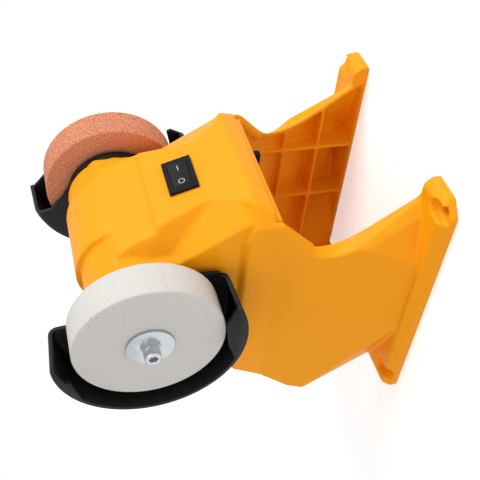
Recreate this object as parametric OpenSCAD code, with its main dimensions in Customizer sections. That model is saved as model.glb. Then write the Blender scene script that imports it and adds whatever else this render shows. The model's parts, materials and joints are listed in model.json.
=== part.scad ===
// Cordless mini bench grinder: two 76 mm wheels on one motor shaft, in a moulded
// housing that stands on two ribbed legs over a battery bay.
// X runs along the shaft, -Y is the front with the switch, Z = 0 is the bench.

/* [Overall] */
// Height of the shaft axis above the bench
shaft_h = 146; // [142:0.5:150]
// Wall thickness of the mouldings
wall = 2.5; // [2:0.1:3]

/* [Grinding wheels] */
// Wheel diameter
wheel_d = 76; // [70:0.5:78]
// Wheel width
wheel_w = 19; // [16:0.5:20]
// Wheel bore
wheel_bore = 10; // [9.6:0.1:12]
// Distance of each wheel's inner face from the centre
wheel_x = 50.5; // [50.3:0.1:51.5]

/* [Shaft and wheel clamps] */
// Motor shaft diameter
shaft_d = 8; // [7:0.1:8.4]
// Clamping flange and washer diameter
flange_d = 24; // [20:0.5:30]
// Thickness of the inner flange
flange_t = 2; // [1.6:0.1:2.1]
// Thickness of the outer washer
washer_t = 1.8; // [1.2:0.1:2.4]
// Spring washer diameter
spring_washer_d = 10; // [9:0.1:11]
// Spring washer thickness
spring_washer_t = 1.6; // [1.2:0.1:2.2]
// Cap screw thread diameter
cap_thread_d = 5; // [4:0.1:5.4]
// Cap screw head diameter
cap_head_d = 8.5; // [8:0.1:9.5]
// Cap screw head height
cap_head_h = 5.5; // [5:0.1:6.5]
// Hexagon socket width across flats
cap_socket = 4; // [3:0.1:4.6]

/* [Motor] */
// Motor can diameter
can_d = 44.4; // [43:0.1:45]
// Half length of the motor can
can_half = 27; // [26:0.2:28]
// Can wall
can_wall = 1.5; // [1:0.1:2]
// Bearing outer diameter
bearing_d = 22; // [20:0.1:23]
// Bearing width
bearing_w = 7; // [6:0.1:7.2]
// Armature diameter
armature_d = 33.6; // [30:0.1:34]
// Commutator diameter
commutator_d = 13; // [12:0.1:14]

/* [Barrel] */
// Barrel diameter
barrel_d = 53; // [51:0.2:54]
// Diameter of the raised band round the barrel
band_d = 58.8; // [56:0.2:60]
// Left edge of the band
band_left = 17; // [14:0.5:20]
// Right edge of the band
band_right = 26; // [20:0.5:27]
// Half width of the barrel and trunk
body_half = 42.8; // [42:0.1:43]

/* [Front panel] */
// Tilt of the switch panel from upright
panel_tilt = 17.8; // [15:0.1:21]
// How far the switch centre lies below the shaft
switch_drop = 27.9; // [26:0.1:30]
// How far the switch centre lies in front of the shaft
switch_out = 44.5; // [43:0.1:45]
// Tilt of the slope between the barrel and the switch panel
brow_tilt = 29; // [27:0.5:32]
// How far the flat trunk front lies in front of the shaft
trunk_front = 26; // [25:0.1:27]

/* [Switch] */
// Bezel length along the shaft
bezel_l = 23.8; // [21:0.1:25]
// Bezel height
bezel_w = 15.6; // [14:0.1:17]
// Switch body length behind the panel
switch_body_l = 20; // [17:0.1:20.4]
// Switch body height behind the panel
switch_body_w = 12.9; // [11:0.1:13.4]
// Switch body depth behind the panel
switch_depth = 15; // [12:0.1:17]
// Angle that the rocker tips through
rocker_swing = 18; // [14:0.5:22]

/* [Skirt and battery deck] */
// Half width over the skirt
skirt_half = 46; // [45.6:0.1:46.5]
// How far the skirt's front edge lies in front of the shaft
skirt_front = 55; // [54:0.1:56]
// How far the rear cover's lower seam lies below the shaft
seam_drop = 50; // [49:0.5:52]
// How far the battery deck's underside lies below the shaft
deck_drop = 70; // [69:0.5:71.5]
// Thickness of the battery deck
deck_t = 3; // [2.4:0.1:4]
// Distance between the battery rails
rail_gap = 56; // [50:0.5:60]
// Drop of the battery rails below the deck
rail_drop = 9; // [7:0.5:10]

/* [Legs] */
// How far the legs' inner faces lie from the centre
leg_in = 46.5; // [46:0.1:47]
// Outward splay of the leg plates from upright
splay = 15.6; // [14:0.1:16.5]
// Radius in the notch of the leg's front edge
notch_r = 13; // [10:0.5:16]
// Thickness of the inner ribs
rib_t = 2; // [1.6:0.1:2.6]
// Inner edge of the legs' rear walls from the centre
rear_in = 38; // [37:0.2:40]

/* [Feet] */
// Inner side of the foot bar from the centre
foot_in = 47.2; // [46.8:0.1:48]
// Outer side of the foot bar from the centre
foot_out = 71.8; // [70:0.1:74]
// Foot bar length in front of the shaft
foot_front = 69.5; // [68:0.1:72]
// Foot bar length behind the shaft
foot_back = 70.5; // [68:0.1:72]
// Height of the foot's flat top
foot_h = 8.6; // [8:0.1:10]
// Height of the foot's upright outer edge
foot_edge = 4.8; // [4:0.1:6]
// Thickness of the sole under the leg pockets
sole_t = 2; // [1.6:0.1:3]
// Distance of the fixing slots from the shaft plane
slot_y = 62; // [60:0.1:63]
// Width of the fixing slots
slot_w = 5; // [4:0.1:6]
// Inner end of the fixing slots from the centre
slot_x0 = 60; // [59:0.1:61]
// Outer end of the fixing slots from the centre
slot_x1 = 67; // [65:0.1:68]
// Floor thickness under the screw pocket
slot_floor = 4; // [3:0.1:4.6]

/* [Guards] */
// Outer radius of the guard at its inner plate
guard_r0 = 47.3; // [46:0.1:48]
// Outer radius of the guard at its rim
guard_r1 = 48.5; // [47.5:0.1:49]
// Wall thickness of the guards
guard_wall = 2; // [1.6:0.1:2.4]
// Distance of the guard's rim from the centre
guard_rim_x = 72.5; // [70:0.1:74]
// Angle of the left guard's upper end above the rear horizontal
left_guard_top = 84; // [82:1:88]
// Angle of the right guard's upper end above the rear horizontal
right_guard_top = 74; // [72:1:78]
// Angle of the guards' lower ends below the rear horizontal
guard_bottom = 116; // [112:1:120]

/* [Fasteners] */
// Thread diameter of the housing screws
screw_d = 3; // [2.6:0.1:3.4]
// Head diameter of the housing screws
screw_head_d = 5.6; // [5:0.1:6]
// Head height of the housing screws
screw_head_h = 2; // [1.6:0.1:2.4]
// Boss diameter round a housing screw
boss_d = 7; // [6.4:0.1:7.6]

/* [Fits] */
// Radial running clearance of the shaft
run_gap = 0.05; // [0.03:0.01:0.08]
// Clearance round parts that are dropped in
drop_gap = 0.2; // [0.1:0.05:0.3]

/* [Hidden] */
$fn = 96;
body_color = "#F9A916";
black_color = "#1F1F20";
steel_color = "#B9BDC1";
copper_color = "#B5673A";

barrel_r = barrel_d / 2;
band_r = band_d / 2;
can_r = can_d / 2;
shaft_r = shaft_d / 2;
wheel_r = wheel_d / 2;
wheel_out = wheel_x + wheel_w;
washer_out = wheel_out + washer_t;
spring_out = washer_out + spring_washer_t;
big = 300;
over = 1;

// Geometry helpers. Profiles are drawn as [y, z] and run along X.
function zs(v) = shaft_h + v;
function facing(a, b, c) = cross(b - a, c - a);
function unit(v) = v / norm(v);
module rod(x0, x1, r, r_end = 0) {
  translate([x0, 0, 0]) rotate([0, 90, 0])
    cylinder(h = x1 - x0, r1 = r, r2 = r_end > 0 ? r_end : r);
}
module tube(x0, x1, r_out, r_in) {
  difference() {
    rod(x0, x1, r_out);
    rod(x0 - over, x1 + over, r_in);
  }
}
module both() {
  children();
  mirror([1, 0, 0]) children();
}
module block(x0, x1, y0, y1, z0, z1) {
  translate([x0, y0, z0]) cube([x1 - x0, y1 - y0, z1 - z0]);
}
// Everything outside the plane through p with outward normal n, moved in by inset
module beyond(p, n, inset = 0) {
  m = unit(n);
  translate(p - m * inset) rotate([0, acos(m[2]), atan2(m[1], m[0])])
    translate([-big / 2, -big / 2, 0]) cube([big, big, big / 2]);
}
module at_shaft() {
  translate([0, 0, shaft_h]) children();
}
// Local frame of the switch panel: x along the shaft, y up the panel, z out of it
module in_panel() {
  at_shaft() translate(switch_at) rotate([90 - panel_tilt, 0, 0]) children();
}
// A round lead through a list of points, with a ball at every bend
module lead(points, r) {
  last = len(points) - 2;
  for (i = [0 : last]) {
    a = points[i];
    v = points[i + 1] - a;
    translate(a) rotate([0, acos(v[2] / norm(v)), atan2(v[1], v[0])])
      cylinder(h = norm(v), r = r, $fn = 24);
    if (i < last) translate(points[i + 1]) sphere(r = r * 1.1, $fn = 24);
  }
}

// Outer form of the trunk, in the shaft's frame; t draws it in by a wall thickness.
switch_at = [0, -switch_out, -switch_drop];
panel_n = [0, -cos(panel_tilt), sin(panel_tilt)];
slope_at = [0, -39.3, -11.5];
slope_n = [0, -cos(brow_tilt), sin(brow_tilt)];
brow_n = [0, -1, 1];
back_knee = [64, -seam_drop];
blend_r = barrel_r - 0.1;
back_angle = atan2(back_knee[1], back_knee[0]) + acos(blend_r / norm(back_knee));
back_n = [0, cos(back_angle), sin(back_angle)];
lower_back = [80, -78];
lower_back_n = [0, back_knee[1] - lower_back[1], lower_back[0] - back_knee[0]];
trunk_top = barrel_r * sin(back_angle);
module barrel_form(t) {
  rod(-body_half + t, body_half - t, barrel_r - t);
  rod(-band_left + t, band_right - t, band_r - t);
}
module trunk_form(t) {
  difference() {
    block(-body_half + t, body_half - t, -trunk_front + t, lower_back[0],
      -seam_drop - over - t, trunk_top);
    beyond([0, 0, 0], brow_n, t - blend_r);
    beyond([0, 0, 0], back_n, t - blend_r);
    beyond([0, lower_back[0], lower_back[1]], lower_back_n, t);
  }
}
// The two slopes of the panel and the brow, before the sides are bevelled
panel_low = -56;
module panel_form(t) {
  difference() {
    block(-body_half + t, body_half - t, -skirt_front, 0, panel_low - t, trunk_top);
    beyond([0, 0, 0], brow_n, t - blend_r);
    beyond(slope_at, slope_n, t);
    beyond(switch_at, panel_n, t);
  }
}
bevel_at = [42, -26, -20];
bevel_n = [0.414, -0.778, 0.473];
module wedge_form(t) {
  difference() {
    panel_form(t);
    both() beyond(bevel_at, bevel_n, t);
  }
}
// The raised pad round the switch, with its steep upper and lower bevels
pad_side_at = [29.3, -33.7, 6];
pad_side_n = [0.779, -0.605, 0.165];
pad_low_at = [22.3, -48.1, -39.2];
pad_low_n = [0.835, -0.55, -0.018];
module pad_form(t) {
  difference() {
    panel_form(t);
    both() {
      beyond(pad_side_at, pad_side_n, t);
      beyond(pad_low_at, pad_low_n, t);
    }
  }
}
skirt_top_edge = [0, -skirt_front, -56.6];
skirt_chamfer_n = [0, -0.881, 0.472];
skirt_face_n = [0, -0.902, -0.432];
skirt_corner_at = [37.2, -skirt_front, 0];
skirt_corner_n = [1.2, -1, 0];
skirt_ledge_at = [skirt_half, 0, -53];
skirt_ledge_n = [0.65, 0, 0.76];
skirt_ledge_corner_n = [0.45, -0.38, 0.8];
skirt_low = -70;
skirt_lip = -66;
lip_half = skirt_half - wall;
root_low = -78;
module skirt_cuts(t) {
  beyond(skirt_top_edge, skirt_chamfer_n, t);
  beyond(skirt_top_edge, skirt_face_n, t);
  beyond([0, lower_back[0], lower_back[1]], lower_back_n, t);
  both() {
    beyond(skirt_corner_at, skirt_corner_n, t);
    beyond(skirt_ledge_at, skirt_ledge_n, t);
    beyond([skirt_corner_at[0], -skirt_front, skirt_top_edge[2]], skirt_ledge_corner_n, t);
  }
}
module skirt_form(t) {
  difference() {
    block(-skirt_half + t, skirt_half - t, -skirt_front - over, lower_back[0],
      skirt_low - t, -seam_drop - t);
    skirt_cuts(t);
  }
}
module upper_form(t) {
  barrel_form(t);
  trunk_form(t);
  wedge_form(t);
  pad_form(t);
  skirt_form(t);
}
module rear_zone(gap = 0) {
  block(-big, big, gap, big, -seam_drop + gap, big);
}

// Outer form of one leg, right side, in the bench's frame; t draws its outer faces in.
// The leg's front edge is a notch of two flats and a round corner, cut along an axis
// that leans back and up as it goes out. Two slopes take the lip's outer edge off.
splay_at = [skirt_half, 0, zs(-70)];
splay_n = [cos(splay), 0, sin(splay)];
notch_apex = [leg_in, -24.3, zs(-94.3)];
notch_up = [0, -1, 1] / sqrt(2);
notch_down = unit([0, -28.5, -37.5]);
notch_lean = 2;
notch_axis = unit([1, 0, 0] - notch_lean * notch_down);
notch_up_n = unit(cross(notch_axis, notch_up));
notch_down_n = unit(cross(notch_down, notch_axis));
notch_turn = acos(notch_up_n * notch_down_n) / 2;
notch_mid = unit(notch_up_n + notch_down_n);
notch_c = notch_apex + notch_mid * notch_r / cos(notch_turn);
heel = [86, zs(-96)];
heel_n = [0, 1, 0.12];
rear_foot = [65, 0];
rear_n = [0, heel[1] - rear_foot[1], rear_foot[0] - heel[0]];
flank_a = [64.1, 29.2, zs(-134.5)];
flank_b = [53.4, 83.8, zs(-96.5)];
flank_c = [46, 71, foot_h];
flank_n = facing(flank_a, flank_c, flank_b);
lip_edge = [56.1, -42.1, zs(-124.5)];
lip_n = facing([49.4, -58.3, zs(-139)], [55.5, -31.7, zs(-104)], lip_edge) * -1;
lip_flank_n = facing([46.3, -46, zs(-74)], [64.9, -24.6, zs(-137.8)], lip_edge) * -1;
leg_front = -62;
leg_top = zs(skirt_low) + over;
module notch_cut(t) {
  difference() {
    intersection() {
      beyond(notch_apex, notch_up_n, t);
      beyond(notch_apex, notch_down_n, t);
    }
    intersection() {
      beyond(notch_c, cross(notch_axis, notch_up_n));
      beyond(notch_c, cross(notch_down_n, notch_axis));
    }
  }
  translate(notch_c)
    rotate([0, acos(notch_axis[2]), atan2(notch_axis[1], notch_axis[0])])
      cylinder(h = 110, r = notch_r + t, center = true);
}
module leg_cuts(t) {
  beyond(lip_edge, lip_n, t);
  beyond(lip_edge, lip_flank_n, t);
  beyond(flank_a, flank_n, t);
  beyond([0, rear_foot[0], 0], rear_n, t);
  notch_cut(t);
}
module leg_form(t, x_in = leg_in) {
  difference() {
    block(x_in, foot_out, leg_front, heel[0] + over, 0, leg_top);
    beyond(splay_at, splay_n, t);
    beyond([0, lower_back[0], zs(lower_back[1])], lower_back_n, t);
    beyond([0, heel[0], heel[1]], heel_n, t);
    leg_cuts(t);
  }
}
toe_n = [0, -1, 1];
toe_at = [0, -foot_front, foot_edge - 0.6];
toe_corner_at = [63.8, -foot_front, 0];
module foot_bar(t) {
  difference() {
    block(foot_in, foot_out - t, -foot_front + t, foot_back - t, 0, foot_h - t);
    beyond([foot_out, 0, foot_edge], [1, 0, 1], t);
    beyond(toe_at, toe_n, t);
    beyond(toe_corner_at, [1, -1, 0], t);
  }
}
// The foot's outer slope, which climbs the leg's plate above the flat top
module foot_slope(t) {
  difference() {
    block(foot_in + 6, foot_out, leg_front, foot_back, foot_h - t - over, foot_h + 8);
    beyond([foot_out, 0, foot_edge], [1, 0, 1], t);
    beyond([splay_at[0], 0, splay_at[2]], -splay_n, 2.5 - t);
    beyond(flank_a, flank_n, t);
    beyond(toe_at, toe_n, t);
  }
}
module fixing_slot(y) {
  slot_r = slot_w / 2;
  pocket_r = slot_r + 1.4;
  pocket_x = slot_x0 - 2.6 + pocket_r;
  translate([pocket_x, y, slot_floor]) cylinder(h = foot_h + 8, r = pocket_r);
  block(pocket_x, foot_out + over, y - pocket_r, y + pocket_r, slot_floor, foot_h * 2);
  for (x = [slot_x0 + slot_r, slot_x1 - slot_r])
    translate([x, y, -over]) cylinder(h = foot_h, r = slot_r);
  block(slot_x0 + slot_r, slot_x1 - slot_r, y - slot_r, y + slot_r, -over, foot_h);
}
rib_y = [-15, 22];
rib_z = [zs(-123), zs(-101.5)];
module leg_pockets() {
  difference() {
    union() {
      leg_form(wall, leg_in - over);
      difference() {
        union() {
          foot_bar(wall);
          block(foot_in - over, foot_in + over, leg_front, foot_back, 0, foot_h);
        }
        leg_cuts(wall);
        block(0, big, -big, -slot_y + 7, -over, foot_h + 1);
      }
    }
    block(0, big, -big, big, -over, sole_t);
    for (y = rib_y) block(0, big, y - rib_t / 2, y + rib_t / 2, 0, big);
    for (z = rib_z) block(0, big, -big, big, z - rib_t / 2, z + rib_t / 2);
    block(0, big, -big, big, zs(root_low), big);
  }
}
// The side wall between the skirt and the leg's plate
module leg_root() {
  difference() {
    leg_form(0, skirt_half - wall);
    block(0, big, -big, big, -over, zs(root_low));
    at_shaft() skirt_cuts(0);
    intersection() {
      beyond(notch_apex, [0, -1, -1]);
      block(0, leg_in, -big, big, -over, zs(skirt_lip));
    }
    difference() {
      leg_form(wall, skirt_half - wall - over);
      block(skirt_half - wall, big, -big, big, zs(skirt_low - wall), big);
    }
  }
}
// The leg's rear wall, which turns in behind the battery bay
module rear_wall() {
  difference() {
    leg_form(0, rear_in);
    leg_form(wall, rear_in - over);
    block(rear_in - over, leg_in, -big, big, -over, sole_t);
    block(0, big, -big, 30, -over, big);
  }
}
module leg() {
  difference() {
    union() {
      leg_form(0);
      foot_bar(0);
      foot_slope(0);
    }
    leg_pockets();
    for (y = [-slot_y, slot_y]) fixing_slot(y);
  }
  rear_wall();
  leg_root();
}

// Fixings. Cover screws run along Y, deck screws along Z, guard screws along X.
screw_r = screw_d / 2;
head_r = screw_head_d / 2;
boss_r = boss_d / 2;
screw_len = 14;
cover_screw_x = body_half - wall - boss_r + 0.6;
cover_screw_z = [18.5, -40];
cover_seat = 3;
deck_screw_at = [[skirt_half - 7.5, -28], [skirt_half - 7.5, 50]];
guard_screw_r = 18;
guard_screw_at = [20, 160, 285];
guard_face = body_half + drop_gap;
guard_ring_t = 3;
guard_plate_x = guard_face + guard_ring_t;
guard_plate_out = guard_plate_x + guard_wall;
guard_seat = guard_plate_out - screw_head_h - drop_gap;
// A screw with its head's underside at 0, pointing down -Z
module screw() {
  cylinder(h = screw_head_h, r1 = head_r, r2 = head_r - 0.6, $fn = 48);
  translate([0, 0, -screw_len]) cylinder(h = screw_len + 0.01, r = screw_r, $fn = 48);
}
module screw_hole(length) {
  translate([0, 0, -length]) cylinder(h = length + over, r = screw_r + run_gap, $fn = 48);
}
module at_cover_screws() {
  both() for (z = cover_screw_z)
    translate([cover_screw_x, cover_seat, z]) rotate([-90, 0, 0]) children();
}
module at_deck_screws() {
  both() for (p = deck_screw_at)
    translate([p[0], p[1], -deck_drop]) rotate([180, 0, 0]) children();
}
module at_guard_screws() {
  for (a = guard_screw_at)
    rotate([a, 0, 0]) translate([guard_seat, guard_screw_r, 0]) rotate([0, 90, 0]) children();
}

// Details inside the shells, in the shaft's frame
end_wall_in = body_half - wall;
shaft_hole_r = 9;
cradle_x = [11, 14];
vent_w = 1.5;
module cradle() {
  both() difference() {
    intersection() {
      upper_form(over);
      block(cradle_x[0], cradle_x[1], -big, big, -30, big);
    }
    rod(0, body_half, can_r + run_gap);
  }
}
module guard_bosses() {
  both() for (a = guard_screw_at)
    rotate([a, 0, 0]) translate([0, guard_screw_r, 0])
      rod(guard_seat - screw_len - 1, end_wall_in + over, boss_r);
}
module vents(angles) {
  for (a = angles) rotate([a, 0, 0]) {
    block(-band_left - 9, -band_left - 1, barrel_r - wall - over, band_r, -vent_w / 2, vent_w / 2);
    block(band_right + 1, band_right + 9, barrel_r - wall - over, band_r, -vent_w / 2, vent_w / 2);
  }
}
module shell_holes() {
  rod(-body_half - over, body_half + over, shaft_hole_r);
  both() at_guard_screws() screw_hole(screw_len + 0.5);
  at_cover_screws() screw_hole(screw_len + cover_seat);
}
deck_gap = wall + drop_gap;
module deck_plan(t, z0, z1) {
  difference() {
    block(-skirt_half + t, skirt_half - t, -skirt_front, lower_back[0], z0, z1);
    skirt_cuts(t);
  }
}
module front_housing() {
  color(body_color) at_shaft() difference() {
    union() {
      difference() {
        upper_form(0);
        upper_form(wall);
      }
      intersection() {
        union() {
          cradle();
          guard_bosses();
          both() for (z = cover_screw_z)
            translate([cover_screw_x, -screw_len + 1, z]) rotate([-90, 0, 0])
              cylinder(h = screw_len - 1, r = boss_r);
        }
        upper_form(0);
      }
      both() for (p = deck_screw_at) {
        translate([p[0], p[1], deck_t - deck_drop])
          cylinder(h = deck_drop - deck_t - seam_drop - 1, r = boss_r);
        block(p[0], skirt_half - 1, p[1] - rib_t / 2, p[1] + rib_t / 2,
          deck_t - deck_drop + 1, -seam_drop - 1);
      }
    }
    rear_zone();
    block(-lip_half, lip_half, -skirt_front, -trunk_front, skirt_low - over, skirt_lip);
    translate([0, 0, -shaft_h]) both() intersection() {
      notch_cut(0);
      block(0, big, -skirt_front, 0, zs(skirt_low - over), zs(skirt_lip));
    }
    shell_holes();
    vents([119, 104]);
    at_deck_screws() screw_hole(screw_len + 0.5);
    translate(switch_at) rotate([90 - panel_tilt, 0, 0])
      block(-switch_body_l / 2 - drop_gap, switch_body_l / 2 + drop_gap,
        -switch_body_w / 2 - drop_gap, switch_body_w / 2 + drop_gap, -wall - over, over);
  }
  color(body_color) both() leg();
}
module rear_cover() {
  tunnel_r = head_r + 0.8;
  color(body_color) at_shaft() difference() {
    intersection() {
      union() {
        difference() {
          upper_form(0);
          upper_form(wall);
        }
        cradle();
        guard_bosses();
        both() for (z = cover_screw_z)
          translate([cover_screw_x, 0, z]) rotate([-90, 0, 0])
            cylinder(h = lower_back[0], r = tunnel_r + 1.5);
      }
      upper_form(0);
      rear_zone();
    }
    shell_holes();
    at_cover_screws() cylinder(h = lower_back[0], r = tunnel_r);
    vents([76, 61]);
  }
}
module cover_screws() {
  color(steel_color) at_shaft() at_cover_screws() screw();
}
block_half = 17;
block_y = [-43, -22];
block_z = [-deck_drop, 13 - deck_drop];
block_lip = 2;
key_x = [12.8, 16.4];
key_drop = 4.5;
module battery_deck() {
  color(body_color) at_shaft() difference() {
    union() {
      deck_plan(deck_gap, -deck_drop, deck_t - deck_drop);
      difference() {
        deck_plan(deck_gap, deck_t - deck_drop - 0.01, deck_t - deck_drop + 4);
        deck_plan(deck_gap + rib_t, deck_t - deck_drop - over, deck_t - deck_drop + 5);
        both() for (p = deck_screw_at)
          block(p[0] - boss_r - 0.5, skirt_half, p[1] - boss_r - 0.5, p[1] + boss_r + 0.5,
            deck_t - deck_drop, deck_t - deck_drop + 5);
      }
      both() {
        block(rail_gap / 2, rail_gap / 2 + wall, -35, 70, -deck_drop - rail_drop, -deck_drop + 0.01);
        block(rail_gap / 2 - wall, rail_gap / 2 + wall, -35, 70,
          -deck_drop - rail_drop, -deck_drop - rail_drop + rib_t);
      }
    }
    block(-block_half - drop_gap, block_half + drop_gap, block_y[0] - drop_gap,
      block_y[1] + drop_gap, -deck_drop - over, deck_t - deck_drop + over);
    at_deck_screws() screw_hole(screw_len);
  }
}
module deck_screws() {
  color(steel_color) at_shaft() at_deck_screws() screw();
}
blade_x = [-9, 0, 9];
blade_t = 0.8;
blade_y = [-36, -25];
module terminal_block() {
  color(black_color) at_shaft() difference() {
    union() {
      block(-block_half, block_half, block_y[0], block_y[1], block_z[0], block_z[1]);
      block(-block_half - block_lip, block_half + block_lip, block_y[0] - 1, block_y[1] + block_lip,
        deck_t - deck_drop, deck_t - deck_drop + 1.6);
      block(key_x[0], key_x[1], block_y[0], block_y[1], block_z[0] - key_drop, block_z[0] + over);
    }
    for (x = blade_x) {
      block(x - 1.5, x + 1.5, blade_y[0] - 2, block_y[1] + over, block_z[0] - over, block_z[1] - 5);
      block(x - blade_t / 2 - run_gap, x + blade_t / 2 + run_gap, blade_y[0] + 2, blade_y[1] - 3,
        block_z[0], block_z[1] + over);
    }
  }
}
blade_top = block_z[1] + 2;
module terminal_blades() {
  color(copper_color) at_shaft() for (x = blade_x) {
    block(x - blade_t / 2, x + blade_t / 2, blade_y[0], blade_y[1], block_z[0] + 1, block_z[1] - 5.05);
    block(x - blade_t / 2, x + blade_t / 2, blade_y[0] + 2.05, blade_y[1] - 3.05,
      block_z[1] - 6, blade_top);
  }
}

// Switch, in the frame of the panel
bezel_t = 1.8;
well_l = 17.2;
well_w = 10.6;
well_floor = -5;
rocker_r = 8.3;
rocker_half_w = 5.1;
pivot_z = -1;
pivot_r = 1;
tab_x = [-5, 5];
tab_y = 2.4;
tab_end = -switch_depth - 7;
module switch_body() {
  color(black_color) in_panel() difference() {
    union() {
      block(-switch_body_l / 2, switch_body_l / 2, -switch_body_w / 2, switch_body_w / 2,
        -switch_depth, over);
      block(-bezel_l / 2, bezel_l / 2, -bezel_w / 2, bezel_w / 2, 0, bezel_t);
    }
    block(-well_l / 2, well_l / 2, -well_w / 2, well_w / 2, well_floor, bezel_t + over);
    translate([0, 0, pivot_z]) rotate([90, 0, 0])
      cylinder(h = switch_body_w - 0.8, r = pivot_r + run_gap, center = true);
    for (x = tab_x)
      block(x - blade_t / 2 - run_gap, x + blade_t / 2 + run_gap, -tab_y - run_gap, tab_y + run_gap,
        -switch_depth - over, well_floor - 3);
  }
}
module switch_terminals() {
  color(copper_color) in_panel() for (x = tab_x)
    block(x - blade_t / 2, x + blade_t / 2, -tab_y, tab_y, tab_end, well_floor - 3);
}
// Drawn with the O end pressed; the facets lie at half the swing to each side
module switch_rocker() {
  half = rocker_swing / 2;
  rise = rocker_r * tan(half);
  color(black_color) in_panel() translate([0, 0, pivot_z]) rotate([0, -half, 0]) {
    intersection() {
      rotate([90, 0, 0]) cylinder(h = 2 * rocker_half_w, r = rocker_r, center = true);
      translate([0, rocker_half_w, 0]) rotate([90, 0, 0]) linear_extrude(2 * rocker_half_w)
        polygon([[-rocker_r, -1.6], [rocker_r, -1.6], [rocker_r, 2.3 + rise], [0, 2.3],
          [-rocker_r, 2.3 + rise]]);
    }
    rotate([90, 0, 0]) cylinder(h = switch_body_w - 1, r = pivot_r, center = true);
  }
}

// Motor, in the shaft's frame. The left end carries the brushes, the right the fan.
bell_out = can_half + 3.5;
bearing_r = bearing_d / 2;
bell_boss_out = end_wall_in - 2;
bearing_out = bell_boss_out - 0.3;
bearing_in = bearing_out - bearing_w;
bell_boss_r = bearing_r + 2.5;
can_in_r = can_r - can_wall;
brush_z = 4.4;
lead_tab_y = 17;
lead_tab_z = -12;
lead_tab_x = -36;
module motor_can() {
  color(steel_color) at_shaft() difference() {
    tube(-can_half, can_half, can_r, can_in_r);
    for (a = [0, 90, 180, 270]) rotate([a + 45, 0, 0])
      block(18, 24, can_in_r - 2, can_r + over, -4, 4);
  }
}
module end_bell() {
  difference() {
    union() {
      rod(can_half, bell_out, can_r);
      rod(bell_out - over, bell_boss_out, bell_boss_r);
    }
    rod(can_half - over, bell_out + over, shaft_r + 3);
    rod(bearing_in, bell_boss_out + over, bearing_r + run_gap);
    for (a = [45 : 90 : 315]) rotate([a, 0, 0])
      block(can_half - over, bell_out + over, bell_boss_r + 2, can_in_r - 1.5, -3, 3);
  }
}
module right_end_bell() {
  color(steel_color) at_shaft() end_bell();
}
module left_end_bell() {
  color(steel_color) at_shaft() difference() {
    mirror([1, 0, 0]) end_bell();
    for (y = [-lead_tab_y, lead_tab_y])
      block(-bell_out - over, -can_half + over, y - 0.8, y + 0.8, lead_tab_z - 0.4, lead_tab_z + 4.4);
  }
}
module motor_magnets() {
  color(black_color) at_shaft() for (side = [0, 180]) difference() {
    tube(10 - can_half, can_half - 12, can_in_r - run_gap, armature_d / 2 + 0.6);
    rotate([side - 20, 0, 0]) block(-big, big, -big, big, -big, 0);
    rotate([side + 20, 0, 0]) block(-big, big, -big, big, -big, 0);
  }
}
module bearing() {
  tube(bearing_in, bearing_out, shaft_r + 2.2, shaft_r + run_gap);
  tube(bearing_in, bearing_out, bearing_r, bearing_r - 1.8);
  tube(bearing_in + 0.5, bearing_out - 0.5, bearing_r - 1.7, shaft_r + 2.1);
}
module right_bearing() {
  color(steel_color) at_shaft() bearing();
}
module left_bearing() {
  color(steel_color) at_shaft() mirror([1, 0, 0]) bearing();
}
brush_in = commutator_d / 2 + 0.3;
module brush_holder() {
  color(black_color) at_shaft() {
    difference() {
      union() {
        tube(-can_half, -can_half + 2, can_in_r - drop_gap, commutator_d / 2 + 2.5);
        for (side = [-1, 1]) scale([1, side, 1])
          block(-can_half + 1.9, -can_half + 8, commutator_d / 2 + 2.5, 19.6, -3.4, 3.4);
      }
      for (side = [-1, 1]) scale([1, side, 1])
        block(-can_half + 2.5, -can_half + 7, brush_in, 18.6, -brush_z / 2, brush_z / 2);
    }
    for (y = [-lead_tab_y, lead_tab_y])
      block(lead_tab_x, -can_half + 1, y - 0.4, y + 0.4, lead_tab_z, lead_tab_z + 4);
  }
}
module carbon_brushes() {
  color(black_color) at_shaft() for (side = [-1, 1]) scale([1, side, 1])
    block(-can_half + 2.55, -can_half + 6.95, brush_in, 14, 0.05 - brush_z / 2, brush_z / 2 - 0.05);
}
module brush_springs() {
  color(steel_color) at_shaft() for (side = [-1, 1])
    translate([-can_half + 4.75, 0, 0]) rotate([-90 * side, 0, 0]) {
      translate([0, 0, 14]) cylinder(h = 4.6, r = 1.1);
      for (z = [14 : 0.92 : 18.2]) translate([0, 0, z]) cylinder(h = 0.5, r = 1.7);
    }
}

// Leads, from the terminal block to the switch and on to the motor
lead_r = 0.9;
function panel_point(p) = switch_at + [p[0],
  p[1] * sin(panel_tilt) - p[2] * cos(panel_tilt), p[1] * cos(panel_tilt) + p[2] * sin(panel_tilt)];
module supply_leads() {
  y = (blade_y[0] + blade_y[1] - 1) / 2;
  color("#A3271F") at_shaft() lead([[blade_x[2], y, blade_top], [blade_x[2], y, blade_top + 4],
    panel_point([tab_x[1], 0, tab_end - 4]), panel_point([tab_x[1], 0, tab_end])], lead_r);
  color(black_color) at_shaft() lead([[blade_x[0], y, blade_top], [blade_x[0], y, blade_top + 3],
    [-24, -24, -42], [-33.5, -8, -28.5], [-33.5, lead_tab_y, -22],
    [-33.5, lead_tab_y, lead_tab_z]], lead_r);
}
module motor_leads() {
  color("#A3271F") at_shaft() lead([panel_point([tab_x[0], 0, tab_end]),
    panel_point([tab_x[0], 0, tab_end - 4]), [-24, -24, -35], [-33.5, -lead_tab_y, -23],
    [-33.5, -lead_tab_y, lead_tab_z]], lead_r);
}

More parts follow.
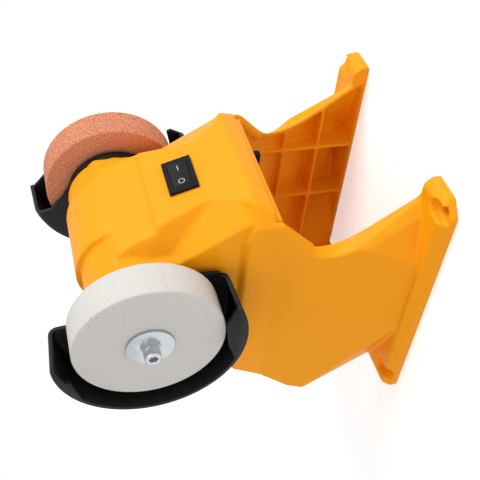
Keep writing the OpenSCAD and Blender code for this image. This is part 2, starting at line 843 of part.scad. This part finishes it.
// Guards, drawn for the right side in the shaft's frame
guard_ring_r = 26;
guard_round = 5;
free_edge = [[9.1, 35.7], [3.6, 30.4], [-3.6, 26.3], [-10.7, 22.7]];
low_edge = [[-22.4, -13.2], [-20.9, -38.8]];
low_cheek = [[-9.9, -37.3], [-4.3, -37.8], [5.5, -38.8], [16, -42.5], [22, -42.5]];
left_low_end = [[-20.6, -41.8]];
right_low_end = [[-20.4, -38.4], [-18.8, -35.3]];
left_cheek = [[32, 33.8], [23, 37.3], [17, 39.1], [16.2, 41.6], [5.9, 46.6]];
right_cheek = [[36, 31], [27, 25], [17, 32.5], [3.6, 36.7], [15.9, 46.7]];
low_ease = [[-40, -36.7], [-20.5, -36.7], [-7.9, -60], [-40, -60]];
function arc(r, a0, a1, n) = [for (i = [0 : n]) r * [cos(a0 + (a1 - a0) * i / n), sin(a0 + (a1 - a0) * i / n)]];
module across(x0, x1) {
  translate([x0, 0, 0]) rotate([90, 0, 90]) linear_extrude(x1 - x0) children();
}
// A band that flares to its rim, with a rounded corner where it leaves the plate
module guard_form(t, rim_x) {
  round_at = [guard_r0 - guard_round, guard_plate_x + guard_round];
  rotate([0, 90, 0]) rotate_extrude()
    polygon(concat([[0, guard_plate_x + t]], [for (a = [0 : 15 : 90])
      round_at + (guard_round - t) * [sin(a), -cos(a)]], [[guard_r1 - t, rim_x], [0, rim_x]]));
}
// The rim turns in towards the wheel at the guard's ends
module cheek(inner, a0, a1) {
  intersection() {
    across(guard_rim_x - guard_wall, guard_rim_x) polygon(concat(inner, arc(80, a0, a1, 4)));
    guard_form(0, guard_rim_x);
  }
}
module guard(top, top_cheek, low_end) {
  difference() {
    union() {
      rod(guard_face, guard_plate_out, guard_ring_r);
      intersection() {
        difference() {
          guard_form(0, guard_rim_x);
          guard_form(guard_wall, guard_rim_x + over);
        }
        union() {
          across(guard_plate_x - over, guard_rim_x + over)
            polygon(concat([[0, 0]], arc(80, -guard_bottom, top, 12)));
          across(guard_plate_x - over, guard_plate_out)
            polygon(concat([[0, 0]], low_edge, [[0, -40], [30, 0]], free_edge));
        }
      }
      cheek(concat(low_end, low_cheek), -62, -guard_bottom - 2);
      cheek(top_cheek, top, 38);
    }
    rod(guard_face - over, guard_plate_out + over, shaft_hole_r);
    at_guard_screws() {
      screw_hole(screw_len);
      cylinder(h = screw_head_h + over, r = head_r + drop_gap);
    }
  }
}
module right_guard() {
  color(black_color) at_shaft() difference() {
    guard(right_guard_top, right_cheek, right_low_end);
    across(guard_plate_x + guard_round, guard_rim_x + over) polygon(low_ease);
  }
}
module left_guard() {
  color(black_color) at_shaft() mirror([1, 0, 0]) guard(left_guard_top, left_cheek, left_low_end);
}
module guard_screws() {
  color(steel_color) at_shaft() both() at_guard_screws() screw();
}

// Spindle, in the shaft's frame
hub_r = wheel_bore / 2 - run_gap;
sleeve_r = 6;
flange_x = wheel_x - flange_t;
shaft_end = wheel_out - 0.5;
cap_r = cap_thread_d / 2;
cap_len = 14;
core = [14 - can_half, can_half - 15];
module motor_shaft() {
  color(steel_color) at_shaft() difference() {
    rod(-shaft_end, shaft_end, shaft_r);
    both() rod(spring_out - cap_len - over, shaft_end + over, cap_r + run_gap);
  }
}
module slots(r_slot, r_gap) {
  for (a = [0 : 72 : 288]) rotate([a, 0, 0]) {
    translate([0, armature_d / 2 - 5, 0]) rod(core[0] - r_gap, core[1] + r_gap, r_slot);
    if (r_gap > 0)
      block(core[0] - r_gap, core[1] + r_gap, armature_d / 2 - 5, armature_d / 2 + over, -0.8, 0.8);
  }
}
module armature_core() {
  color("#8E9295") at_shaft() difference() {
    tube(core[0], core[1], armature_d / 2, shaft_r + run_gap);
    slots(3, 1);
  }
}
module armature_windings() {
  color(copper_color) at_shaft() {
    slots(3 - run_gap, 0);
    for (x = [core[0] - 4.5, core[1]]) difference() {
      rod(x, x + 4.5, armature_d / 2 - 2);
      rod(x - over, x + 5.5, shaft_r + 1.2);
    }
  }
}
module commutator() {
  color(copper_color) at_shaft() difference() {
    tube(-can_half + 1.5, -can_half + 9, commutator_d / 2, shaft_r + run_gap);
    for (a = [0 : 36 : 324]) rotate([a, 0, 0])
      block(-can_half, -can_half + 10, commutator_d / 2 - 0.6, commutator_d, -0.3, 0.3);
  }
}
fan_in = can_half - 9;
fan_out = can_half - 2.5;
module cooling_fan() {
  color(black_color) at_shaft() {
    tube(fan_in, fan_out, shaft_r + 2.4, shaft_r + run_gap);
    tube(fan_in, fan_in + 1.2, 17, shaft_r + 2.3);
    for (a = [0 : 360 / 7 : 359]) rotate([a, 0, 0])
      block(fan_in + over, fan_out, shaft_r + 2, 16.5, -0.7, 0.7);
  }
}
module wheel() {
  ease = 0.6;
  difference() {
    union() {
      rod(wheel_x, wheel_x + ease, wheel_r - ease, wheel_r);
      rod(wheel_x + ease, wheel_out - ease, wheel_r);
      rod(wheel_out - ease, wheel_out, wheel_r, wheel_r - ease);
    }
    rod(wheel_x - over, wheel_out + over, wheel_bore / 2);
  }
}
module right_wheel() {
  color("#DE9F80") at_shaft() wheel();
}
module left_wheel() {
  color("#E2E0DC") at_shaft() mirror([1, 0, 0]) wheel();
}
module inner_flange() {
  difference() {
    union() {
      rod(bell_boss_out, flange_x + over, sleeve_r);
      rod(flange_x, wheel_x, flange_d / 2);
      rod(flange_x, shaft_end, hub_r);
    }
    rod(bell_boss_out - over, shaft_end + over, shaft_r + run_gap);
  }
}
module right_inner_flange() {
  color(steel_color) at_shaft() inner_flange();
}
module left_inner_flange() {
  color(steel_color) at_shaft() mirror([1, 0, 0]) inner_flange();
}
module outer_washer() {
  tube(wheel_out, washer_out, flange_d / 2, cap_r + run_gap);
}
module right_outer_washer() {
  color(steel_color) at_shaft() outer_washer();
}
module left_outer_washer() {
  color(steel_color) at_shaft() mirror([1, 0, 0]) outer_washer();
}
module spring_washer() {
  difference() {
    tube(washer_out, spring_out, spring_washer_d / 2, cap_r + run_gap);
    rotate([40, 0, 0]) block(0, big, 0, big, -0.4, 0.4);
  }
}
module right_spring_washer() {
  color(steel_color) at_shaft() spring_washer();
}
module left_spring_washer() {
  color(steel_color) at_shaft() mirror([1, 0, 0]) spring_washer();
}
module cap_screw() {
  difference() {
    union() {
      rod(spring_out - cap_len, spring_out + 0.01, cap_r);
      rod(spring_out, spring_out + cap_head_h - 0.5, cap_head_d / 2);
      rod(spring_out + cap_head_h - 0.5, spring_out + cap_head_h, cap_head_d / 2, cap_head_d / 2 - 0.5);
    }
    translate([spring_out + cap_head_h - 3, 0, 0]) rotate([0, 90, 0])
      cylinder(h = 4, d = cap_socket / cos(30), $fn = 6);
  }
}
module right_cap_screw() {
  color(steel_color) at_shaft() cap_screw();
}
module left_cap_screw() {
  color(steel_color) at_shaft() mirror([1, 0, 0]) cap_screw();
}

front_housing();
rear_cover();
cover_screws();
battery_deck();
deck_screws();
terminal_block();
terminal_blades();
switch_body();
switch_terminals();
switch_rocker();
motor_can();
left_end_bell();
right_end_bell();
motor_magnets();
left_bearing();
right_bearing();
brush_holder();
carbon_brushes();
brush_springs();
supply_leads();
motor_leads();
left_guard();
right_guard();
guard_screws();
motor_shaft();
armature_core();
armature_windings();
commutator();
cooling_fan();
left_wheel();
right_wheel();
left_inner_flange();
right_inner_flange();
left_outer_washer();
right_outer_washer();
left_spring_washer();
right_spring_washer();
left_cap_screw();
right_cap_screw();
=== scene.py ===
import json
import math

import bmesh
import bpy
from mathutils import Matrix, Vector


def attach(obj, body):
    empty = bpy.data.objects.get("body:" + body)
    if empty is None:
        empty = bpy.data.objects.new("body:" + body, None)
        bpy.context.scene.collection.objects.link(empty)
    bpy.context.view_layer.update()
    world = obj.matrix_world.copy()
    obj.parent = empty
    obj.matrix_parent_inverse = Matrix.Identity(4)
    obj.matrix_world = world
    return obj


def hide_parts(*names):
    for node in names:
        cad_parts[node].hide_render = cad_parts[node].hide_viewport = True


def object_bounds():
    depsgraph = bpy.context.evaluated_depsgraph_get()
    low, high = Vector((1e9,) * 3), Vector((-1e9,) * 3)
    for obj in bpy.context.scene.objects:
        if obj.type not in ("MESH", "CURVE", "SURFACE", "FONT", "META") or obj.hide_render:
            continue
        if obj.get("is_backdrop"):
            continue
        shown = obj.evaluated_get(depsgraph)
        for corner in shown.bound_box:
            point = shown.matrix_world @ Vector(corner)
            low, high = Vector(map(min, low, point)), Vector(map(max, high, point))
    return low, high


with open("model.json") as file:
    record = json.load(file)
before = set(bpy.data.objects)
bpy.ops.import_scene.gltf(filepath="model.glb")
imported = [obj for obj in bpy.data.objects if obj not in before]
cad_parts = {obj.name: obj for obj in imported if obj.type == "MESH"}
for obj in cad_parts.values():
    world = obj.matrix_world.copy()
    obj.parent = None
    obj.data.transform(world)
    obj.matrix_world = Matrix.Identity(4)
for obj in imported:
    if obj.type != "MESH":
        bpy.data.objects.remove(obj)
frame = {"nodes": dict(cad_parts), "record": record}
mm = 0.001


def writeBox(key, sizes):
    low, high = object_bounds()
    sizes[key] = [list(low), list(high)]


sizes = {}
writeBox("cad", sizes)

# Colours and nodes


def linear(hexCode, alpha=1.0):
    parts = [int(hexCode[i : i + 2], 16) / 255 for i in (1, 3, 5)]
    return tuple(p / 12.92 if p <= 0.04045 else ((p + 0.055) / 1.055) ** 2.4 for p in parts) + (alpha,)


def addNode(tree, kind, place, **values):
    node = tree.nodes.new(kind)
    node.location = place
    for name, value in values.items():
        setattr(node, name, value)
    return node


def startMaterial(name):
    material = bpy.data.materials.new(name)
    material.use_nodes = True
    tree = material.node_tree
    tree.nodes.clear()
    output = addNode(tree, "ShaderNodeOutputMaterial", (600, 0))
    shader = addNode(tree, "ShaderNodeBsdfPrincipled", (300, 0))
    tree.links.new(shader.outputs["BSDF"], output.inputs["Surface"])
    coords = addNode(tree, "ShaderNodeTexCoord", (-900, 0))
    return material, tree, shader, coords.outputs["Object"]


def noise(tree, vector, place, size, detail=4.0):
    node = addNode(tree, "ShaderNodeTexNoise", place)
    node.inputs["Scale"].default_value = 1 / size
    node.inputs["Detail"].default_value = detail
    tree.links.new(vector, node.inputs["Vector"])
    return node.outputs["Fac"]


def ramp(tree, factor, place, stops):
    node = addNode(tree, "ShaderNodeValToRGB", place)
    band = node.color_ramp
    while len(band.elements) < len(stops):
        band.elements.new(0.5)
    for element, (spot, colour) in zip(band.elements, stops):
        element.position = spot
        element.color = colour
    tree.links.new(factor, node.inputs["Fac"])
    return node.outputs["Color"]


def bump(tree, height, shader, place, depth, strength=1.0):
    node = addNode(tree, "ShaderNodeBump", place)
    node.inputs["Distance"].default_value = depth
    node.inputs["Strength"].default_value = strength
    tree.links.new(height, node.inputs["Height"])
    tree.links.new(node.outputs["Normal"], shader.inputs["Normal"])


# Plastics drift between two near shades over a wide cloud and have a fine moulded grain
plasticLook = {"cloud": 40 * mm, "darkUpTo": 0.35, "fullFrom": 0.65, "grainStrength": 0.3}


def plastic(name, colour, darker, roughness, grain, grainDepth, gloss=0.5):
    material, tree, shader, coords = startMaterial(name)
    cloud = noise(tree, coords, (-700, 200), plasticLook["cloud"])
    shades = [(plasticLook["darkUpTo"], linear(darker)), (plasticLook["fullFrom"], linear(colour))]
    tint = ramp(tree, cloud, (-450, 200), shades)
    tree.links.new(tint, shader.inputs["Base Color"])
    shader.inputs["Roughness"].default_value = roughness
    shader.inputs["Specular IOR Level"].default_value = gloss
    texture = noise(tree, coords, (-700, -200), grain)
    bump(tree, texture, shader, (0, -200), grainDepth, plasticLook["grainStrength"])
    return material


# Metals are smudged: their roughness drifts between two shares of its plain value
steelLook = {"smudge": 3 * mm, "smoothest": 0.8, "roughest": 1.3}


def steel(name, colour, roughness):
    material, tree, shader, coords = startMaterial(name)
    shader.inputs["Metallic"].default_value = 1.0
    shader.inputs["Base Color"].default_value = linear(colour)
    smudge = noise(tree, coords, (-700, 0), steelLook["smudge"])
    spread = addNode(tree, "ShaderNodeMapRange", (-450, 0))
    spread.inputs["To Min"].default_value = roughness * steelLook["smoothest"]
    spread.inputs["To Max"].default_value = roughness * steelLook["roughest"]
    tree.links.new(smudge, spread.inputs["Value"])
    tree.links.new(spread.outputs["Result"], shader.inputs["Roughness"])
    return material


# Round specks of one colour over the colour below: one in each cell of the given size, as wide
# as limit says, in the given share of the cells
def specks(tree, coords, place, below, colour, size, limit, share):
    x, y = place
    cells = addNode(tree, "ShaderNodeTexVoronoi", (x, y))
    cells.inputs["Scale"].default_value = 1 / size
    tree.links.new(coords, cells.inputs["Vector"])
    near = addNode(tree, "ShaderNodeMath", (x + 200, y), operation="LESS_THAN")
    near.inputs[1].default_value = limit
    tree.links.new(cells.outputs["Distance"], near.inputs[0])
    chosen = addNode(tree, "ShaderNodeMath", (x + 200, y - 200), operation="LESS_THAN")
    chosen.inputs[1].default_value = share
    tree.links.new(cells.outputs["Color"], chosen.inputs[0])
    both = addNode(tree, "ShaderNodeMath", (x + 400, y), operation="MULTIPLY")
    tree.links.new(near.outputs["Value"], both.inputs[0])
    tree.links.new(chosen.outputs["Value"], both.inputs[1])
    # Inputs 6 and 7 and output 2 are the colours of a Mix node
    mix = addNode(tree, "ShaderNodeMix", (x + 600, y), data_type="RGBA")
    mix.inputs[7].default_value = linear(colour)
    tree.links.new(both.outputs["Value"], mix.inputs["Factor"])
    tree.links.new(below, mix.inputs[6])
    return mix.outputs[2]


# The wheels' stone: grains in a few shades, pits between them and specks in layers
stoneLook = {
    "detail": 6.0,
    "layerStep": 500,
    "roughness": 0.95,
    "gloss": 0.2,
    "pitDepth": 0.5,
    "pitStrength": 0.5,
}


def abrasive(name, stops, grain, layers):
    material, tree, shader, coords = startMaterial(name)
    grains = noise(tree, coords, (-700, 300), grain, stoneLook["detail"])
    tint = ramp(tree, grains, (-450, 300), [(spot, linear(colour)) for spot, colour in stops])
    for level, layer in enumerate(layers):
        tint = specks(tree, coords, (-700, -400 - stoneLook["layerStep"] * level), tint, **layer)
    tree.links.new(tint, shader.inputs["Base Color"])
    shader.inputs["Roughness"].default_value = stoneLook["roughness"]
    shader.inputs["Specular IOR Level"].default_value = stoneLook["gloss"]
    bump(tree, grains, shader, (0, -200), grain * stoneLook["pitDepth"], stoneLook["pitStrength"])
    return material


materials = {
    "golden_abs": plastic("abs golden yellow satin", "#FFA70E", "#FFA40C", 0.45, 0.5 * mm, 0.02 * mm, 0.15),
    "guard_nylon": plastic("nylon black matt", "#131313", "#0F0F0F", 0.5, 0.6 * mm, 0.03 * mm, 0.2),
    "black_plastic": plastic("abs black satin", "#161415", "#121011", 0.6, 0.5 * mm, 0.02 * mm, 0.12),
    "black_gloss": plastic(
        "polycarbonate black semi gloss", "#161415", "#121011", 0.52, 0.8 * mm, 0.01 * mm, 0.14
    ),
    "lead_pvc": plastic("pvc lead sheath", "#7A1C17", "#6A1512", 0.5, 1 * mm, 0.01 * mm),
    "carbon": plastic("pressed carbon", "#1B1B1C", "#161617", 0.7, 0.3 * mm, 0.02 * mm),
    "ferrite": plastic("sintered ferrite grey", "#2A2A2B", "#252526", 0.7, 0.4 * mm, 0.02 * mm),
    "zinc_steel": steel("steel zinc plated bright", "#BCC0C3", 0.22),
    "bright_steel": steel("steel ground bright", "#B4B7BA", 0.28),
    "core_steel": steel("steel lamination dull", "#8A8C8E", 0.45),
    "brass": steel("brass bright", "#D8B25C", 0.25),
    "copper_wire": steel("copper wire enamelled", "#C06A3C", 0.35),
    "white_oxide": abrasive(
        "aluminium oxide white vitrified",
        [(0.3, "#D0CCC6"), (0.6, "#DAD7D3")],
        0.5 * mm,
        [
            {"colour": "#C9AE98", "size": 2.2 * mm, "limit": 0.16, "share": 0.5},
            {"colour": "#8E7A68", "size": 4.5 * mm, "limit": 0.07, "share": 0.4},
        ],
    ),
    "pink_oxide": abrasive(
        "aluminium oxide pink vitrified",
        [(0.3, "#BC6642"), (0.5, "#D28663"), (0.7, "#E6A98A")],
        0.9 * mm,
        [{"colour": "#EEC3AA", "size": 0.9 * mm, "limit": 0.2, "share": 0.4}],
    ),
}

# CAD nodes take their slot's material. Moulded and turned pieces are replaced by a copy with
# eased edges.

shaftHeight = 146
# Corners in mm from the shaft, on the right-hand side. Each leg runs up to the skirt in a lip
# bar and a side plate.
neck = {
    "lip": [
        (43.5, -47.5, -66), (43.5, -29.8, -85.2), (46.2, -44.6, -65.5), (46.2, -46.6, -71.2),
        (46.2, -31.6, -86.2), (47.6, -38.5, -75.5), (50.2, -27, -85.5), (43.5, -44, -65.5),
        (43.5, -27.5, -84), (46.2, -41, -65.5), (50.2, -24, -84.5),
    ],
    "plate": [
        (43.5, -44, -65.5), (46, -44, -65.5), (46, -41, -71), (43.5, -42, -71), (50.2, -27, -85.5),
        (47.7, -27, -85.5), (51.6, -20, -90), (49, -20, -90), (43.5, -20, -66), (46, -20, -66),
    ],
}
# The switch pad stands proud of the slope above it
padStep = [(34, -36, -9.2), (34, -46, -14.6), (34, -29.4, 8.2), (34, -46, 8.2)]
# The battery rails start behind the skirt's front
railStart = [(45, -70, -70.1), (45, -12, -70.1), (45, -70, -95), (45, -12, -95)]

mouldings = {
    "front_housing": {"voxel": 0.8 * mm, "passes": 8, "share": 0.22, "cut": padStep, "filled": neck},
}
softEdges = {
    "battery_deck": {"width": 0.3 * mm, "segments": 2, "cut": railStart},
    "rear_cover": {"width": 0.5 * mm, "segments": 2},
    "left_guard": {"width": 0.5 * mm, "segments": 2},
    "right_guard": {"width": 0.5 * mm, "segments": 2},
    "switch_body": {"width": 0.4 * mm, "segments": 3},
    "switch_rocker": {"width": 0.3 * mm, "segments": 3},
    "left_wheel": {"width": 0.2 * mm, "segments": 2},
    "right_wheel": {"width": 0.2 * mm, "segments": 2},
    "left_cap_screw": {"width": 0.15 * mm, "segments": 2},
    "right_cap_screw": {"width": 0.15 * mm, "segments": 2},
    "left_outer_washer": {"width": 0.15 * mm, "segments": 2},
    "right_outer_washer": {"width": 0.15 * mm, "segments": 2},
}
# Every copy: points closer than weld become one. Bevelled copies: faces within flatTurn of each
# other become one, edges sharper than sharpTurn are bevelled and those under smoothTurn are shaded
# round. Remeshed copies: smoothing is the strength of one smoothing pass.
easing = {
    "weld": 0.002 * mm,
    "flatTurn": math.radians(0.5),
    "sharpTurn": math.radians(20),
    "smoothTurn": math.radians(35),
    "smoothing": 0.5,
}
bodyOf = {}
for body, names in frame["record"]["behaviour"]["bodies"].items():
    for name in names:
        bodyOf[name] = body
slotOf = {}
for part in frame["record"]["subparts"]:
    slotOf[part["node"]] = part["material_slot"]


def dress(piece, material):
    piece.data.materials.clear()
    piece.data.materials.append(material)


def select(piece):
    bpy.ops.object.select_all(action="DESELECT")
    bpy.context.view_layer.objects.active = piece
    piece.select_set(True)


def hull(corners, name):
    shape = bmesh.new()
    for corner in corners:
        shape.verts.new((corner[0] * mm, corner[1] * mm, (corner[2] + shaftHeight) * mm))
    bmesh.ops.convex_hull(shape, input=shape.verts)
    loose = [vert for vert in shape.verts if not vert.link_faces]
    bmesh.ops.delete(shape, geom=loose, context="VERTS")
    bmesh.ops.recalc_face_normals(shape, faces=shape.faces)
    mesh = bpy.data.meshes.new(name)
    shape.to_mesh(mesh)
    shape.free()
    piece = bpy.data.objects.new(name, mesh)
    bpy.context.scene.collection.objects.link(piece)
    return piece


def mirrored(corners):
    return [(-x, y, z) for x, y, z in corners]


def carve(piece, tool):
    select(piece)
    cut = piece.modifiers.new("carve", "BOOLEAN")
    cut.operation = "DIFFERENCE"
    cut.solver = "EXACT"
    cut.object = tool
    bpy.ops.object.modifier_apply(modifier=cut.name)
    bpy.data.objects.remove(tool)


def carveBothSides(piece, corners, name):
    carve(piece, hull(corners + mirrored(corners), name))
    select(piece)


def mergedCopy(name):
    copy = bpy.data.objects.new(name + "_moulded", frame["nodes"][name].data.copy())
    bpy.context.scene.collection.objects.link(copy)
    select(copy)
    bpy.ops.object.mode_set(mode="EDIT")
    bpy.ops.mesh.select_all(action="SELECT")
    bpy.ops.mesh.remove_doubles(threshold=easing["weld"])
    bpy.ops.object.mode_set(mode="OBJECT")
    return copy


# Overlapping closed hulls are joined to the copy, and the remesh fuses them into one skin
def mouldedCopy(name, voxel, passes, share, cut, filled):
    copy = mergedCopy(name)
    carveBothSides(copy, cut, "slope_cut")
    fillers = [hull(corners, "neck") for corners in filled.values()]
    fillers += [hull(mirrored(corners), "neck") for corners in filled.values()]
    select(copy)
    for filler in fillers:
        filler.select_set(True)
    bpy.ops.object.join()
    skin = copy.modifiers.new("evenSkin", "REMESH")
    skin.mode = "VOXEL"
    skin.voxel_size = voxel
    rounds = copy.modifiers.new("roundEdges", "SMOOTH")
    rounds.factor = easing["smoothing"]
    rounds.iterations = passes
    lighter = copy.modifiers.new("fewerFaces", "DECIMATE")
    lighter.ratio = share
    for step in (skin, rounds, lighter):
        bpy.ops.object.modifier_apply(modifier=step.name)
    bpy.ops.object.shade_smooth()
    print(name, "faces", len(copy.data.polygons))
    return copy


def softCopy(name, width, segments, cut=None):
    copy = mergedCopy(name)
    if cut:
        carveBothSides(copy, cut, "rail_cut")
    bpy.ops.object.mode_set(mode="EDIT")
    bpy.ops.mesh.select_all(action="SELECT")
    bpy.ops.mesh.dissolve_limited(angle_limit=easing["flatTurn"])
    bpy.ops.object.mode_set(mode="OBJECT")
    bevel = copy.modifiers.new("easedEdges", "BEVEL")
    bevel.width = width
    bevel.segments = segments
    bevel.limit_method = "ANGLE"
    bevel.angle_limit = easing["sharpTurn"]
    bevel.miter_outer = "MITER_ARC"
    bevel.use_clamp_overlap = True
    bpy.ops.object.modifier_apply(modifier=bevel.name)
    bpy.ops.object.shade_smooth_by_angle(angle=easing["smoothTurn"])
    return copy


def easedCopy(name):
    if name in mouldings:
        return mouldedCopy(name, **mouldings[name])
    return softCopy(name, **softEdges[name])


for name, node in frame["nodes"].items():
    material = materials[slotOf[name]]
    if name in mouldings or name in softEdges:
        copy = easedCopy(name)
        dress(copy, material)
        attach(copy, bodyOf[name])
        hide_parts(name)
    else:
        dress(node, material)
print("nodes dressed")

# Marks on the rocker: a bar at its raised end and a ring at its pressed end

rocker = {
    "panelTilt": math.radians(17.8),
    "swing": math.radians(18),
    "pivot": Vector((0, -43.548, 117.794)) * mm,
    "crown": 2.3 * mm,
    "markAt": 4.4 * mm,
    "bar": (2.8 * mm, 0.5 * mm),
    "ring": (1.75 * mm, 1.32 * mm),
    "proud": 0.03 * mm,
    "barThickness": 0.06 * mm,
    "ringSegments": (48, 8),
    "ringFlatness": 0.12,
}
markWhite = plastic("printing ink white", "#B8B8B8", "#AFAFAF", 0.5, 1 * mm, 0.005 * mm)
rise = math.sin(rocker["panelTilt"])
run = math.cos(rocker["panelTilt"])
outward = Vector((0, -run, rise))
upward = Vector((0, rise, run))
along = Vector((1, 0, 0))
panelAxes = Matrix((along, upward, outward)).transposed().to_4x4()


def facetFrame(side):
    tilt = Matrix.Rotation(-rocker["swing"] / 2, 4, "Y")
    slope = Matrix.Rotation(-side * rocker["swing"] / 2, 4, "Y")
    crown = Matrix.Translation((0, 0, rocker["crown"]))
    shift = Matrix.Translation((side * rocker["markAt"], 0, rocker["proud"]))
    return Matrix.Translation(rocker["pivot"]) @ panelAxes @ tilt @ crown @ slope @ shift


def placeMark(name, side):
    mark = bpy.context.object
    mark.name = name
    mark.data.transform(facetFrame(side))
    mark.matrix_world = Matrix()
    dress(mark, markWhite)
    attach(mark, "rocker")


bpy.ops.mesh.primitive_cube_add(size=1)
bpy.context.object.data.transform(Matrix.Diagonal((*rocker["bar"], rocker["barThickness"], 1)))
placeMark("rocker_bar_mark", 1)
outer, inner = rocker["ring"]
around, across = rocker["ringSegments"]
bpy.ops.mesh.primitive_torus_add(
    major_radius=(outer + inner) / 2,
    minor_radius=(outer - inner) / 2,
    major_segments=around,
    minor_segments=across,
)
bpy.context.object.data.transform(Matrix.Diagonal((1, 1, rocker["ringFlatness"], 1)))
placeMark("rocker_ring_mark", -1)
print("marks made")

# Camera, placed and turned as the photograph's; its picture lies over on its side

sight = {
    "at": Vector((-305.475, -309.903, 191.437)) * mm,
    "right": Vector((-0.256356, -0.085641, -0.962781)),
    "down": Vector((-0.693715, 0.709916, 0.121564)),
    "ahead": Vector((0.673083, 0.69906, -0.241402)),
    "focalPixels": 801.66,
    "picturePixels": 480,
    "sensorWidth": 36,
    "nearest": 10 * mm,
}
camera = bpy.data.objects.new("camera", bpy.data.cameras.new("camera"))
bpy.context.scene.collection.objects.link(camera)
turned = Matrix((sight["right"], -sight["down"], -sight["ahead"])).transposed().to_4x4()
camera.matrix_world = Matrix.Translation(sight["at"]) @ turned
camera.data.sensor_width = sight["sensorWidth"]
camera.data.lens = sight["sensorWidth"] * sight["focalPixels"] / sight["picturePixels"]
camera.data.clip_start = sight["nearest"]
bpy.context.scene.camera = camera

# Floor and lights. The floor and the world look brighter than they light the product.

studio = {
    "floorHalf": 20.0,
    "floorDrop": 0.2 * mm,
    "floorColour": "#F4F4F4",
    "floorRoughness": 0.9,
    "fill": 0.5,
    "backdrop": 1.0,
    "floorLift": 0.45,
    "key": {"toward": (0.35, -0.8, 0.48), "power": 2.0, "softness": 35},
    "side": {"toward": (-0.85, -0.25, 0.45), "power": 0.6, "softness": 50},
}


def brighterForCamera(tree, plain, seen, target):
    path = addNode(tree, "ShaderNodeLightPath", (-400, 500))
    direct = addNode(tree, "ShaderNodeMath", (-200, 500), operation="MAXIMUM")
    looking = addNode(tree, "ShaderNodeMath", (0, 500), operation="MAXIMUM")
    tree.links.new(path.outputs["Is Camera Ray"], direct.inputs[0])
    tree.links.new(path.outputs["Is Glossy Ray"], direct.inputs[1])
    tree.links.new(direct.outputs["Value"], looking.inputs[0])
    tree.links.new(path.outputs["Is Transmission Ray"], looking.inputs[1])
    choose = addNode(tree, "ShaderNodeMixShader", (400, 200))
    tree.links.new(looking.outputs["Value"], choose.inputs["Fac"])
    tree.links.new(plain, choose.inputs[1])
    tree.links.new(seen, choose.inputs[2])
    tree.links.new(choose.outputs["Shader"], target)


bpy.ops.mesh.primitive_plane_add(size=studio["floorHalf"] * 2, location=(0, 0, -studio["floorDrop"]))
floor = bpy.context.object
floor.name = "floor"
floorPaint, tree, shader, coords = startMaterial("studio floor pale matt")
shader.inputs["Base Color"].default_value = linear(studio["floorColour"])
shader.inputs["Roughness"].default_value = studio["floorRoughness"]
shader.inputs["Specular IOR Level"].default_value = 0.0
glow = addNode(tree, "ShaderNodeEmission", (300, -300))
glow.inputs["Color"].default_value = linear("#FFFFFF")
glow.inputs["Strength"].default_value = studio["floorLift"]
lifted = addNode(tree, "ShaderNodeAddShader", (500, -200))
tree.links.new(shader.outputs["BSDF"], lifted.inputs[0])
tree.links.new(glow.outputs["Emission"], lifted.inputs[1])
floorOut = next(node for node in tree.nodes if node.type == "OUTPUT_MATERIAL")
brighterForCamera(tree, shader.outputs["BSDF"], lifted.outputs["Shader"], floorOut.inputs["Surface"])
dress(floor, floorPaint)
floor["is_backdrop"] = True


def softSun(name, toward, power, softness):
    lamp = bpy.data.lights.new(name, "SUN")
    lamp.energy = power
    lamp.angle = math.radians(softness)
    holder = bpy.data.objects.new(name, lamp)
    bpy.context.scene.collection.objects.link(holder)
    holder.rotation_mode = "QUATERNION"
    holder.rotation_quaternion = Vector(toward).to_track_quat("Z", "Y")


softSun("key light", **studio["key"])
softSun("side light", **studio["side"])

world = bpy.data.worlds.new("studio")
bpy.context.scene.world = world
world.use_nodes = True
tree = world.node_tree
tree.nodes.clear()
worldOut = addNode(tree, "ShaderNodeOutputWorld", (600, 0))
lit = addNode(tree, "ShaderNodeBackground", (0, 100))
lit.inputs["Color"].default_value = linear("#FFFFFF")
lit.inputs["Strength"].default_value = studio["fill"]
seen = addNode(tree, "ShaderNodeBackground", (0, -100))
seen.inputs["Color"].default_value = linear("#FFFFFF")
seen.inputs["Strength"].default_value = studio["backdrop"]
brighterForCamera(tree, lit.outputs["Background"], seen.outputs["Background"], worldOut.inputs["Surface"])
bpy.context.scene.view_settings.view_transform = "Standard"
print("studio made")

writeBox("visual", sizes)
